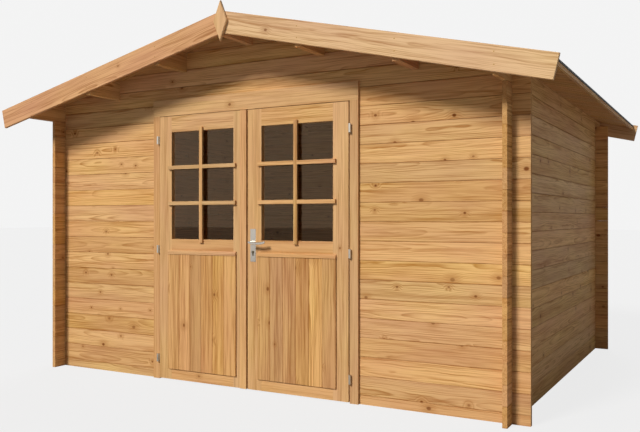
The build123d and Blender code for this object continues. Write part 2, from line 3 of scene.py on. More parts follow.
import bpy
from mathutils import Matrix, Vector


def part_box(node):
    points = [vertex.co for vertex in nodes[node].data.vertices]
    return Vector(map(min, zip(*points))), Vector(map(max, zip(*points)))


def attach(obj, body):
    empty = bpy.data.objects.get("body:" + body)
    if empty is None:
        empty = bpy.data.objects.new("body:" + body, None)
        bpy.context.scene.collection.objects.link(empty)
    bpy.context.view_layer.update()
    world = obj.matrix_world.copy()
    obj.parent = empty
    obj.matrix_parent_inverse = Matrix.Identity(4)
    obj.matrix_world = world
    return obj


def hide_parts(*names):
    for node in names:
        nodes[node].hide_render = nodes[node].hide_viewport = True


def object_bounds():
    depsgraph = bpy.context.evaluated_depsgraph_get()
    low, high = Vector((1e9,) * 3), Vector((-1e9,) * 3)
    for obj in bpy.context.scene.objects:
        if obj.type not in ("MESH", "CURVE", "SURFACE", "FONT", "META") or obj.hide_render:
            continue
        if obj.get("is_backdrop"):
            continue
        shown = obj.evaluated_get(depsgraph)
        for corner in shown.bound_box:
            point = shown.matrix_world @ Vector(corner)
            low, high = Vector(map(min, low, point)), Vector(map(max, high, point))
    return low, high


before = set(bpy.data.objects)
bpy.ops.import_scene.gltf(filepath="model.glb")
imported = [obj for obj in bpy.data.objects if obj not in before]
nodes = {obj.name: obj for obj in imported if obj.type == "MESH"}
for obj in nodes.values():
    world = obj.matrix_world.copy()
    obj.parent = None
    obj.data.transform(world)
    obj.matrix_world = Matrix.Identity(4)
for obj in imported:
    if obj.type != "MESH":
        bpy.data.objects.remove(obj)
cad_low, cad_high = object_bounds()

# The studio.
# A plain pale floor, a large soft lamp from the front left and a weaker one from behind, a
# pale room all round, and a camera 1.2 m up, off the right-hand front corner of the shed.


def colour(red, green, blue):
    """A colour as it looks on a screen, 0 to 255, made into the linear values that shaders use."""
    return [((value / 255 + 0.055) / 1.055) ** 2.4 for value in (red, green, blue)] + [1.0]


def add_node(tree, kind, inputs, **settings):
    """A shader node with its settings, whose inputs are linked or filled in."""
    made = tree.nodes.new("ShaderNode" + kind)
    for setting, value in settings.items():
        setattr(made, setting, value)
    for socket, value in inputs.items():
        if isinstance(value, bpy.types.NodeSocket):
            tree.links.new(value, made.inputs[socket])
        else:
            made.inputs[socket].default_value = value
    return made


def new_finish(name):
    """An empty material, its node tree, its shader and its output."""
    finish = bpy.data.materials.new(name)
    finish.use_nodes = True
    tree = finish.node_tree
    tree.nodes.clear()
    shader = tree.nodes.new("ShaderNodeBsdfPrincipled")
    output = tree.nodes.new("ShaderNodeOutputMaterial")
    tree.links.new(shader.outputs[0], output.inputs["Surface"])
    return finish, tree, shader, output


def larger(tree, mask, other):
    """The larger of two masks."""
    return add_node(tree, "Math", {0: mask, 1: other}, operation="MAXIMUM").outputs[0]


FLOOR_SIZE = 160
FLOOR_TONE = 0.32
FLOOR_GLOW = 0.80
bpy.ops.object.select_all(action="DESELECT")
bpy.ops.mesh.primitive_plane_add(size=FLOOR_SIZE)
studio_floor = bpy.context.object
studio_floor.name = "studio_floor"
floor_finish, tree, shader, output = new_finish("studio_floor")
shader.inputs["Base Color"].default_value = (FLOOR_TONE, FLOOR_TONE, FLOOR_TONE, 1)
shader.inputs["Roughness"].default_value = 0.9
shader.inputs["Specular IOR Level"].default_value = 0.1
glow = add_node(tree, "Emission", {"Color": (1, 1, 1, 1), "Strength": 1.0})
sight = add_node(tree, "LightPath", {}).outputs
share = add_node(tree, "Math", {0: sight["Is Camera Ray"], 1: FLOOR_GLOW}, operation="MULTIPLY")
both = add_node(tree, "MixShader", {0: share.outputs[0], 1: shader.outputs[0], 2: glow.outputs[0]})
tree.links.new(both.outputs[0], output.inputs["Surface"])
studio_floor.data.materials.append(floor_finish)
studio_floor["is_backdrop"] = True

# Metal and glass mirror the pale room that the camera sees. What falls on the shed is dimmer.
ROOM_LIGHT = 0.165
BACKDROP = 0.90
world = bpy.data.worlds.new("studio")
world.use_nodes = True
tree = world.node_tree
tree.nodes.clear()
sight = add_node(tree, "LightPath", {}).outputs
seen = larger(tree, sight["Is Camera Ray"], sight["Is Glossy Ray"])
seen = larger(tree, seen, sight["Is Transmission Ray"])
light = add_node(tree, "Background", {"Color": (1, 1, 1, 1), "Strength": ROOM_LIGHT})
backdrop = add_node(tree, "Background", {"Color": (1, 1, 1, 1), "Strength": BACKDROP})
both = add_node(tree, "MixShader", {0: seen, 1: light.outputs[0], 2: backdrop.outputs[0]})
add_node(tree, "OutputWorld", {"Surface": both.outputs[0]})
bpy.context.scene.world = world
bpy.context.scene.view_settings.view_transform = "Standard"

LAMP_HEIGHT = math.radians(37)
LAMP_LEFT = math.radians(17)
LAMP_STRENGTH = 3.25
LAMP_SPREAD = math.radians(14)
FILL_STRENGTH = 1.2
FILL_SPREAD = math.radians(30)
bpy.ops.object.light_add(type="SUN", rotation=(math.pi / 2 - LAMP_HEIGHT, 0, -LAMP_LEFT))
lamp = bpy.context.object
lamp.name = "soft_lamp"
lamp.data.energy = LAMP_STRENGTH
lamp.data.angle = LAMP_SPREAD
lamp.data.color = (1.0, 0.985, 0.96)
bpy.ops.object.light_add(type="SUN", rotation=(-math.pi / 2 + LAMP_HEIGHT, 0, LAMP_LEFT))
fill = bpy.context.object
fill.name = "fill_lamp"
fill.data.energy = FILL_STRENGTH
fill.data.angle = FILL_SPREAD

CAMERA_PLACE = (2.890, -5.618, 1.156)
CAMERA_TURN = math.radians(29.057)
CAMERA_LENS = 42.2
CAMERA_SHIFT = 0.0046
CAMERA_REACH = 300
bpy.ops.object.camera_add(location=CAMERA_PLACE, rotation=(math.pi / 2, 0, CAMERA_TURN))
camera = bpy.context.object
camera.data.lens = CAMERA_LENS
camera.data.shift_y = CAMERA_SHIFT
camera.data.clip_end = CAMERA_REACH
bpy.context.scene.camera = camera

# The log walls.
# Planed pine logs, 28 by 120 mm, notched over each other at the corners. Stained honey
# colour, with knots, and darker where the stain has run into the joints.

LOG_HEIGHT = 0.12
FRONT_WALL_MIDDLE = 1.389
BACK_WALL_MIDDLE = 1.451
SIDE_WALL_MIDDLE = 1.771
HONEY = colour(220, 174, 118)
LATE_WOOD = colour(170, 114, 60)
KNOT = colour(112, 56, 12)
JOINT_STAIN = colour(146, 84, 22)
RING_WIDTH = 0.0065
KNOTS_ALONG = 3.6
KNOTS_ACROSS = 4.8
KNOT_CORE = (0.024, 0.054)
KNOT_HALO = (0.03, 0.22)
STAIN_EDGE = (0.0036, 0.0050)

# Each wood gives the group its own board width and so on, in metres. Middle is how far the
# middle of its boards lies from the middle of the shed, and Lot tells one piece from another.
pine = bpy.data.node_groups.new("pine", "ShaderNodeTree")
for label, kind, value in (
    ("Vector", "Vector", (0, 0, 0)),
    ("End grain", "Float", 0.0),
    ("First edge", "Float", 0.0),
    ("Board width", "Float", 10.0),
    ("First end", "Float", -5.0),
    ("Board length", "Float", 10.0),
    ("Middle", "Float", 0.0),
    ("Lot", "Float", 0.0),
    ("Light wood", "Color", HONEY),
    ("Late wood", "Color", LATE_WOOD),
    ("Knot wood", "Color", KNOT),
    ("Ring width", "Float", RING_WIDTH),
    ("Knot share", "Float", 0.55),
    ("Tone spread", "Float", 0.18),
    ("Joint stain", "Float", 0.0),
    ("Wander", "Float", 1.0),
    ("Off pith", "Float", 0.0),
    ("Figure", "Float", 1.0),
):
    socket = pine.interface.new_socket(name=label, in_out="INPUT", socket_type="NodeSocket" + kind)
    socket.default_value = value
for label, kind in (("Colour", "Color"), ("Roughness", "Float"), ("Height", "Float")):
    pine.interface.new_socket(name=label, in_out="OUTPUT", socket_type="NodeSocket" + kind)
given = pine.nodes.new("NodeGroupInput").outputs


def work_out(operation, *values):
    """One sum in the pine group."""
    return add_node(pine, "Math", dict(enumerate(values)), operation=operation).outputs[0]


def fade(value, start, stop):
    """1 at the start, falling smoothly to 0 at the stop."""
    ends = {"Value": value, "From Min": start, "From Max": stop, "To Min": 1.0, "To Max": 0.0}
    return add_node(pine, "MapRange", ends, interpolation_type="SMOOTHSTEP").outputs[0]


def cloud(forward, sideways, deep, detail):
    """Soft noise, drawn out along the grain."""
    place = add_node(pine, "CombineXYZ", {0: forward, 1: sideways, 2: deep}).outputs[0]
    return add_node(pine, "TexNoise", {"Vector": place, "Scale": 1.0, "Detail": detail}).outputs[0]


def swing(value, reach, about):
    """Noise of 0 to 1, made into a swing to both sides of another value."""
    return work_out("MULTIPLY_ADD", work_out("SUBTRACT", value, 0.5), reach, about)


def tint(factor, under, over):
    """Two colours mixed in the pine group."""
    parts = {0: factor, 6: under, 7: over}
    return add_node(pine, "Mix", parts, data_type="RGBA").outputs[2]


# The board that a point is on, the point's distance from the board's middle line, and three
# chances between 0 and 1 that hold for the whole board.
along, across, through = add_node(pine, "SeparateXYZ", {0: given["Vector"]}).outputs
from_edge = work_out("SUBTRACT", across, given["First edge"])
row = work_out("FLOOR", work_out("DIVIDE", from_edge, given["Board width"]))
middle = work_out("MULTIPLY", work_out("ADD", row, 0.5), given["Board width"])
local = work_out("SUBTRACT", from_edge, middle)
from_end = work_out("SUBTRACT", along, given["First end"])
length_number = work_out("FLOOR", work_out("DIVIDE", from_end, given["Board length"]))
number = work_out("MULTIPLY_ADD", length_number, 37.0, row)
number = work_out("MULTIPLY_ADD", given["Lot"], 101.0, number)
chance = add_node(pine, "TexWhiteNoise", {"W": number}, noise_dimensions="1D").outputs["Color"]
first, second, third = add_node(pine, "SeparateXYZ", {0: chance}).outputs
run = work_out("MULTIPLY_ADD", first, 40.0, along)


def grain(length_rate, sideways, rate, lot_rate, detail):
    """Noise that runs along the board, and through it from face to back."""
    forward = work_out("MULTIPLY", run, length_rate)
    sideways = work_out("MULTIPLY", sideways, rate)
    deep = work_out("MULTIPLY_ADD", through, rate, work_out("MULTIPLY", number, lot_rate))
    return cloud(forward, sideways, deep, detail)


ripple = grain(5.0, local, 14.0, 1.0, 2.0)
patch = grain(1.7, local, 6.0, 2.3, 2.0)
wavy = work_out("MULTIPLY_ADD", ripple, 0.016, local)
pores = grain(3.0, wavy, 120.0, 1.3, 3.0)
streak = grain(0.8, local, 26.0, 3.1, 3.0)
fibre = grain(14.0, local, 420.0, 0.0, 1.0)

# Knots, in a loose net of cells of which some hold one, so many cells to a metre.
knot_row = work_out("MULTIPLY", work_out("MULTIPLY_ADD", number, 3.7, local), KNOTS_ACROSS)
knot_column = work_out("MULTIPLY", run, KNOTS_ALONG)
place = add_node(pine, "CombineXYZ", {0: knot_column, 1: knot_row}).outputs[0]
cell = add_node(pine, "TexVoronoi", {"Vector": place, "Scale": 1.0}, voronoi_dimensions="2D")
pick, size, spare = add_node(pine, "SeparateXYZ", {0: cell.outputs["Color"]}).outputs
chosen = work_out("GREATER_THAN", pick, work_out("SUBTRACT", 1.0, given["Knot share"]))
reach = work_out("MULTIPLY", cell.outputs["Distance"], work_out("MULTIPLY_ADD", size, 1.2, 0.6))
core = work_out("MULTIPLY", fade(reach, *KNOT_CORE), chosen)
halo = work_out("MULTIPLY", fade(reach, *KNOT_HALO), chosen)

# Growth rings round a pith behind the board, which wanders from end to end. They bend round
# the knots, and each is pale at first and darkest at its outer edge.
drift = cloud(work_out("MULTIPLY", run, 0.6), number, number, 1.0)
drift = work_out("MULTIPLY", work_out("SUBTRACT", drift, 0.5), given["Wander"])
taper = cloud(work_out("MULTIPLY", run, 0.8), number, work_out("MULTIPLY", number, 1.7), 1.0)
taper = work_out("MULTIPLY", work_out("SUBTRACT", taper, 0.5), given["Wander"])
bent = work_out("MULTIPLY_ADD", drift, 0.07, local)
side = swing(second, 0.12, work_out("ADD", bent, given["Off pith"]))
depth = work_out("SUBTRACT", work_out("ABSOLUTE", through), given["Middle"])
depth = work_out("ADD", depth, work_out("MULTIPLY_ADD", third, 0.05, 0.035))
depth = work_out("MULTIPLY_ADD", taper, 0.07, depth)
radius = work_out("ADD", work_out("MULTIPLY", side, side), work_out("MULTIPLY", depth, depth))
radius = work_out("MULTIPLY_ADD", halo, 0.010, work_out("SQRT", radius))
radius = swing(ripple, 0.009, radius)
year = work_out("FRACT", work_out("DIVIDE", radius, given["Ring width"]))
line = work_out("MULTIPLY", work_out("POWER", year, 2.2), fade(year, 0.86, 1.0))

# How much late wood shows, from the streaks, pores, rings and fibres.
dark = swing(streak, work_out("MULTIPLY", given["Figure"], 1.2), 0.14)
pores = work_out("MULTIPLY", work_out("SUBTRACT", pores, 0.5), given["Figure"])
dark = work_out("MULTIPLY_ADD", pores, 1.9, dark)
dark = work_out("MULTIPLY_ADD", line, work_out("MULTIPLY_ADD", patch, 2.2, -0.45), dark)
dark = add_node(pine, "Clamp", {0: swing(fibre, 0.25, dark)}).outputs[0]
wood = tint(dark, given["Light wood"], given["Late wood"])

# Each board's own tone and warmth, then its knots, its end grain and the stain in its joints.
tone = swing(patch, 0.32, swing(first, given["Tone spread"], 1.0))
warmth = swing(patch, 0.034, swing(second, -0.008, 0.5))
richness = swing(third, 0.08, 1.0)
toned = {"Hue": warmth, "Saturation": richness, "Value": tone, "Color": wood}
wood = add_node(pine, "HueSaturation", toned).outputs[0]
wood = tint(work_out("MULTIPLY", halo, 0.45), wood, given["Late wood"])
knot_strength = work_out("MULTIPLY", core, work_out("MULTIPLY_ADD", spare, 0.5, 0.5))
wood = tint(knot_strength, wood, given["Knot wood"])
wood = tint(work_out("MULTIPLY", given["End grain"], 0.30), wood, given["Late wood"])
half_width = work_out("MULTIPLY", given["Board width"], 0.5)
to_joint = work_out("SUBTRACT", half_width, work_out("ABSOLUTE", local))
worn = cloud(work_out("MULTIPLY", run, 7.0), number, 0.0, 3.0)
stain = work_out("MULTIPLY", work_out("MULTIPLY_ADD", worn, 5.0, -1.6), given["Joint stain"])
stain = work_out("MULTIPLY", fade(to_joint, *STAIN_EDGE), stain)
wood = tint(stain, wood, JOINT_STAIN)

rough = work_out("MULTIPLY_ADD", streak, 0.25, 0.50)
rough = work_out("MULTIPLY_ADD", given["End grain"], 0.2, rough)
height = work_out("MULTIPLY_ADD", fibre, 0.5, work_out("MULTIPLY", line, -0.5))
height = work_out("MULTIPLY_ADD", core, -0.6, height)
results = pine.nodes.new("NodeGroupOutput").inputs
pine.links.new(wood, results["Colour"])
pine.links.new(rough, results["Roughness"])
pine.links.new(height, results["Height"])


def pine_finish(name, axes, tilt=0.0, **values):
    """Stained pine. The axes are those along the grain, across the board and through it."""
    finish, tree, shader, _ = new_finish(name)
    coordinates = add_node(tree, "TexCoord", {}).outputs
    vectors = []
    for source in (coordinates["Object"], coordinates["Normal"]):
        turned = add_node(tree, "Mapping", {"Vector": source, "Rotation": (0, tilt, 0)})
        split = add_node(tree, "SeparateXYZ", {0: turned.outputs[0]}).outputs
        ordered = {place: split[axis] for place, axis in enumerate(axes)}
        vectors.append(add_node(tree, "CombineXYZ", ordered).outputs[0])
    point, normal = vectors
    facing = add_node(tree, "SeparateXYZ", {0: normal}).outputs[0]
    facing = add_node(tree, "Math", {0: facing}, operation="ABSOLUTE").outputs[0]
    ends = add_node(tree, "MapRange", {"Value": facing, "From Min": 0.7, "From Max": 0.9}).outputs[0]
    wood = tree.nodes.new("ShaderNodeGroup")
    wood.node_tree = pine
    tree.links.new(point, wood.inputs["Vector"])
    tree.links.new(ends, wood.inputs["End grain"])
    for label, value in values.items():
        wood.inputs[label.replace("_", " ")].default_value = value
    relief = {"Height": wood.outputs["Height"], "Strength": 0.35, "Distance": 0.0006}
    bump = add_node(tree, "Bump", relief)
    tree.links.new(wood.outputs["Colour"], shader.inputs["Base Color"])
    tree.links.new(wood.outputs["Roughness"], shader.inputs["Roughness"])
    tree.links.new(bump.outputs[0], shader.inputs["Normal"])
    shader.inputs["Specular IOR Level"].default_value = 0.18
    shader.inputs["Specular Tint"].default_value = (1.0, 0.82, 0.60, 1)
    return finish


def dress(finish, *names):
    """Gives CAD nodes a finish."""
    for name in names:
        for place in nodes[name].material_slots:
            place.material = finish


crosswise = {"First_edge": LOG_HEIGHT / 2, "Board_width": LOG_HEIGHT, "Joint_stain": 0.30}
lengthwise = {**crosswise, "First_edge": 0.0, "Middle": SIDE_WALL_MIDDLE}
front_logs = pine_finish("front_logs", (0, 2, 1), Lot=1, Middle=FRONT_WALL_MIDDLE, First_end=0.0,
                         **crosswise)
back_logs = pine_finish("back_logs", (0, 2, 1), Lot=2, Middle=BACK_WALL_MIDDLE, **crosswise)
left_logs = pine_finish("left_logs", (1, 2, 0), Lot=3, **lengthwise)
right_logs = pine_finish("right_logs", (1, 2, 0), Lot=4, **lengthwise)
front_gable_logs = pine_finish("front_gable_logs", (0, 2, 1), Lot=5, Middle=FRONT_WALL_MIDDLE,
                               **crosswise)
dress(front_logs, "front_wall_left", "front_wall_right")
dress(back_logs, "back_wall", "back_gable")
dress(left_logs, "left_wall")
dress(right_logs, "right_wall")
dress(front_gable_logs, "front_gable")

# The purlins and the top logs of the side walls.
# Planed pine beams that run from barge board to barge board and carry the roof boards. The
# top logs are of the same stuff as the walls under them.

BEAM_SPACING = 0.64
beams = pine_finish("beams", (1, 0, 2), Lot=6, Middle=2.2, First_edge=-BEAM_SPACING / 2,
                    Board_width=BEAM_SPACING)
dress(beams, "ridge_purlin", "side_purlins")
top_logs = pine_finish("wall_plates", (1, 2, 0), Lot=40, **lengthwise)
dress(top_logs, "wall_plates")

# The roof boards.
# Tongued and grooved pine, 18 mm thick, nailed to the purlins from ridge to eave. The lower
# edges are bevelled, so that the ceiling shows a V at every joint.

ROOF_ANGLE = math.radians(13.23)
ROOF_BOARD_COUNT = 34
ROOF_BOARD_THICKNESS = 0.018
BOARD_GAP = 0.0006
ROOF_V = 0.003
SAW_ALLOWANCE = 0.1


def begin(name, low, high):
    """A block between two corners, ready to be shaped in edit mode."""
    bpy.ops.object.select_all(action="DESELECT")
    middle = [(a + b) / 2 for a, b in zip(low, high)]
    size = [b - a for a, b in zip(low, high)]
    bpy.ops.mesh.primitive_cube_add(size=1, location=middle, scale=size)
    piece = bpy.context.object
    piece.name = name
    return piece


def settle(piece):
    """Puts a finished piece's place into its mesh."""
    bpy.ops.object.select_all(action="DESELECT")
    piece.select_set(True)
    bpy.context.view_layer.objects.active = piece
    bpy.ops.object.transform_apply(location=True, rotation=True, scale=True)


def pick_edges(piece, wanted):
    """Goes into edit mode with those edges selected whose two ends pass the test."""
    bpy.context.view_layer.objects.active = piece
    bpy.ops.object.mode_set(mode="EDIT")
    bpy.ops.mesh.select_mode(type="EDGE")
    bpy.ops.mesh.select_all(action="DESELECT")
    bpy.ops.object.mode_set(mode="OBJECT")
    corners = piece.data.vertices
    for edge in piece.data.edges:
        edge.select = wanted(corners[edge.vertices[0]].co, corners[edge.vertices[1]].co)
    bpy.ops.object.mode_set(mode="EDIT")


def bevel_edges(piece, width, wanted):
    """Bevels the edges whose two ends pass the test."""
    pick_edges(piece, wanted)
    bpy.ops.mesh.bevel(offset=width, segments=1, affect="EDGES")
    bpy.ops.object.mode_set(mode="OBJECT")


def repeat(piece, count, step):
    """Copies the piece in a row, each copy with its own mesh."""
    bpy.context.view_layer.objects.active = piece
    row = piece.modifiers.new("row", "ARRAY")
    row.count = count
    row.use_relative_offset = False
    row.use_constant_offset = True
    row.constant_offset_displace = step
    bpy.ops.object.modifier_apply(modifier=row.name)


def saw(piece, point, normal):
    """Cuts away what lies on the normal's side of a plane, and closes the cut."""
    bpy.context.view_layer.objects.active = piece
    bpy.ops.object.mode_set(mode="EDIT")
    bpy.ops.mesh.select_all(action="SELECT")
    bpy.ops.mesh.bisect(plane_co=point, plane_no=normal, use_fill=True, clear_outer=True)
    bpy.ops.object.mode_set(mode="OBJECT")


for side, sign in (("left", -1), ("right", 1)):
    low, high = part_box(side + "_roof_boards")
    edge = max(abs(low.x), abs(high.x))
    pitch = (high.y - low.y) / ROOF_BOARD_COUNT
    centre_x = sign * edge / 2
    length = edge / math.cos(ROOF_ANGLE) + SAW_ALLOWANCE
    rise = ROOF_BOARD_THICKNESS / math.cos(ROOF_ANGLE)
    centre_z = high.z - rise / 2 - edge / 2 * math.tan(ROOF_ANGLE)
    first_board = begin(
        side + "_roof_board_row",
        (centre_x - length / 2, low.y + BOARD_GAP / 2, centre_z - ROOF_BOARD_THICKNESS / 2),
        (centre_x + length / 2, low.y + pitch - BOARD_GAP / 2, centre_z + ROOF_BOARD_THICKNESS / 2),
    )
    settle(first_board)
    bevel_edges(first_board, ROOF_V, lambda a, b: max(a.z, b.z) < centre_z and abs(a.x - b.x) > 0.5)
    bpy.ops.object.mode_set(mode="EDIT")
    bpy.ops.mesh.select_all(action="SELECT")
    centre = (centre_x, (low.y + high.y) / 2, centre_z)
    bpy.ops.transform.rotate(value=-sign * ROOF_ANGLE, orient_axis="Y", center_override=centre)
    bpy.ops.object.mode_set(mode="OBJECT")
    saw(first_board, (0, 0, 0), (-sign, 0, 0))
    saw(first_board, (sign * edge, 0, 0), (sign, 0, 0))
    repeat(first_board, ROOF_BOARD_COUNT, (0, pitch, 0))
    finish = pine_finish(side + "_roof_boards", (0, 1, 2), tilt=-sign * ROOF_ANGLE, Lot=8 + sign,
                         First_edge=low.y, Board_width=pitch, Joint_stain=0.7,
                         Middle=high.z * math.cos(ROOF_ANGLE), Off_pith=0.05)
    first_board.data.materials.append(finish)
    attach(first_board, "shed")
    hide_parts(side + "_roof_boards")

# The roofing felt.
# Bitumen felt with a dark mineral face, from rolls a metre wide. It is laid from the eave up,
# each strip 80 mm over the one below, nailed, and capped along the ridge.

FELT_THICKNESS = 0.003
ROLL_WIDTH = 1.0
FELT_LAP = 0.08
CAP_REACH = 0.15
NAIL_PITCH = 0.1
NAIL_RADIUS = 0.0045
NAIL_PROUD = 0.001
EAVE_NAIL_RISE = 0.006
LAP_NAIL_INSET = 0.025
LAP_NAIL_LIFT = 0.0004

felt_finish, tree, shader, _ = new_finish("mineral_felt")
place = add_node(tree, "TexCoord", {}).outputs["Object"]
grit = add_node(tree, "TexNoise", {"Vector": place, "Scale": 900.0, "Detail": 2.0}).outputs[0]
weather = add_node(tree, "TexNoise", {"Vector": place, "Scale": 2.2, "Detail": 4.0}).outputs[0]
parts = {0: grit, 6: colour(44, 44, 46), 7: colour(86, 86, 86)}
stone = add_node(tree, "Mix", parts, data_type="RGBA").outputs[2]
weather = add_node(tree, "MapRange", {"Value": weather, "From Min": 0.35, "From Max": 0.7}).outputs[0]
parts = {0: weather, 6: stone, 7: colour(82, 80, 75)}
stone = add_node(tree, "Mix", parts, data_type="RGBA").outputs[2]
tree.links.new(stone, shader.inputs["Base Color"])
shader.inputs["Roughness"].default_value = 0.92
bump = add_node(tree, "Bump", {"Height": grit, "Strength": 0.5, "Distance": 0.0008})
tree.links.new(bump.outputs[0], shader.inputs["Normal"])


def metal(name, tone, smooth, dull):
    """A metal whose gloss varies in specks between two roughnesses."""
    finish, tree, shader, _ = new_finish(name)
    place = add_node(tree, "TexCoord", {}).outputs["Object"]
    speck = add_node(tree, "TexNoise", {"Vector": place, "Scale": 160.0, "Detail": 3.0}).outputs[0]
    gloss = add_node(tree, "MapRange", {"Value": speck, "To Min": smooth, "To Max": dull}).outputs[0]
    tree.links.new(gloss, shader.inputs["Roughness"])
    shader.inputs["Base Color"].default_value = tone
    shader.inputs["Metallic"].default_value = 1.0
    return finish


weathered_zinc = metal("weathered_zinc", colour(128, 126, 122), 0.4, 0.6)


def thicken(piece, thickness):
    """Gives a sheet its thickness, on the side that it faces."""
    bpy.context.view_layer.objects.active = piece
    sheet = piece.modifiers.new("thickness", "SOLIDIFY")
    sheet.thickness = thickness
    sheet.offset = 1.0
    bpy.ops.object.modifier_apply(modifier=sheet.name)


def join(name, pieces):
    """Joins pieces into one object."""
    bpy.ops.object.select_all(action="DESELECT")
    for piece in pieces:
        piece.select_set(True)
    bpy.context.view_layer.objects.active = pieces[0]
    bpy.ops.object.join()
    pieces[0].name = name
    return pieces[0]


def nail_head(place, turn, radius, proud):
    """A round head with a bevelled rim, which faces along Z before it is turned."""
    bpy.ops.object.select_all(action="DESELECT")
    bpy.ops.mesh.primitive_cone_add(vertices=12, radius1=radius, radius2=radius * 0.8, depth=proud,
                                    location=place, rotation=turn)
    head = bpy.context.object
    settle(head)
    return head


for side, sign in (("left", -1), ("right", 1)):
    low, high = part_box(side + "_roof_felt")
    eave = max(abs(low.x), abs(high.x)) - FELT_THICKNESS
    deck_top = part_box(side + "_roof_boards")[1].z
    middle_y = (low.y + high.y) / 2
    strips = []
    top = 0.0
    while eave - top * math.cos(ROOF_ANGLE) > CAP_REACH:
        lower_x = eave - top * math.cos(ROOF_ANGLE)
        upper_x = max(0.0, lower_x - ROLL_WIDTH * math.cos(ROOF_ANGLE))
        lift = FELT_THICKNESS if strips else 0.0
        lower_z = deck_top - lower_x * math.tan(ROOF_ANGLE) + lift
        upper_z = deck_top - upper_x * math.tan(ROOF_ANGLE)
        length = math.hypot(lower_x - upper_x, upper_z - lower_z)
        angle = math.atan2(upper_z - lower_z, lower_x - upper_x)
        bpy.ops.object.select_all(action="DESELECT")
        bpy.ops.mesh.primitive_plane_add(
            size=1, location=(sign * (lower_x + upper_x) / 2, middle_y, (lower_z + upper_z) / 2),
            rotation=(0, sign * angle, 0))
        strip = bpy.context.object
        strip.scale = (length, high.y - low.y, 1)
        settle(strip)
        if not strips:
            pick_edges(strip, lambda a, b: min(abs(a.x), abs(b.x)) > eave - 0.001)
            turned_down = {"value": (0, 0, low.z - lower_z)}
            bpy.ops.mesh.extrude_region_move(TRANSFORM_OT_translate=turned_down)
            bpy.ops.object.mode_set(mode="OBJECT")
        thicken(strip, FELT_THICKNESS)
        strips.append(strip)
        top += ROLL_WIDTH - FELT_LAP
    sheet = join(side + "_felt_strips", strips)
    sheet.data.materials.append(felt_finish)
    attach(sheet, "shed")
    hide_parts(side + "_roof_felt")

    count = int((high.y - low.y) / NAIL_PITCH)
    first_y = middle_y - (count - 1) * NAIL_PITCH / 2
    eave_place = (sign * (eave + FELT_THICKNESS + NAIL_PROUD / 2), first_y, low.z + EAVE_NAIL_RISE)
    rows = [nail_head(eave_place, (0, sign * math.pi / 2, 0), NAIL_RADIUS, NAIL_PROUD)]
    for lap in (1, 2):
        lap_x = eave - (lap * (ROLL_WIDTH - FELT_LAP) + LAP_NAIL_INSET) * math.cos(ROOF_ANGLE)
        lap_z = deck_top - lap_x * math.tan(ROOF_ANGLE) + 2 * FELT_THICKNESS + LAP_NAIL_LIFT
        lap_place = (sign * lap_x, first_y, lap_z)
        rows.append(nail_head(lap_place, (0, sign * ROOF_ANGLE, 0), NAIL_RADIUS, NAIL_PROUD))
    for head in rows:
        repeat(head, count, (0, NAIL_PITCH, 0))
    nails = join(side + "_felt_nails", rows)
    nails.data.materials.append(weathered_zinc)
    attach(nails, "shed")

low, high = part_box("left_roof_felt")
cap_fall = CAP_REACH * math.tan(ROOF_ANGLE)
cap_place = (0, (low.y + high.y) / 2, deck_top - cap_fall + 2 * FELT_THICKNESS)
bpy.ops.object.select_all(action="DESELECT")
bpy.ops.mesh.primitive_grid_add(x_subdivisions=2, y_subdivisions=1, size=1, location=cap_place)
ridge_cap = bpy.context.object
ridge_cap.name = "ridge_cap"
ridge_cap.scale = (2 * CAP_REACH, high.y - low.y, 1)
settle(ridge_cap)
pick_edges(ridge_cap, lambda a, b: max(abs(a.x), abs(b.x)) < 0.01)
bpy.ops.transform.translate(value=(0, 0, cap_fall - FELT_THICKNESS))
bpy.ops.object.mode_set(mode="OBJECT")
thicken(ridge_cap, FELT_THICKNESS)
ridge_cap.data.materials.append(felt_finish)
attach(ridge_cap, "shed")

# The eave strips, barge boards and finials.
# Planed boards in the same stain as the logs. The barge boards are screwed to the ends of
# the purlins and top logs, and a bevelled diamond covers their joint at the ridge.

eave_wood = pine_finish("eave_strips", (1, 2, 0), Lot=11, First_edge=1.9, Board_width=0.2, Middle=2.1)
finial_wood = pine_finish("finials", (2, 0, 1), Lot=12, First_edge=-0.2, Board_width=0.3,
                         Knot_share=0.0, Middle=1.72, Wander=0.5,
                         Light_wood=colour(234, 191, 141), Late_wood=colour(186, 136, 88))
dress(eave_wood, "eave_strips")
dress(finial_wood, "finials")
BARGE_WIDTH = 0.14
low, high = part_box("right_barge_boards")
apex = high.z
for side, sign, pale, late in (
    ("left", -1, colour(212, 163, 114), colour(166, 114, 68)),
    ("right", 1, colour(218, 180, 138), colour(174, 128, 86)),
):
    wood = pine_finish(side + "_barge_boards", (0, 2, 1), tilt=-sign * ROOF_ANGLE, Lot=14 + sign,
                       First_edge=apex * math.cos(ROOF_ANGLE) - BARGE_WIDTH, Board_width=BARGE_WIDTH,
                       Middle=1.708, Knot_share=0.25, Light_wood=pale, Late_wood=late, Figure=1.3)
    dress(wood, side + "_barge_boards")

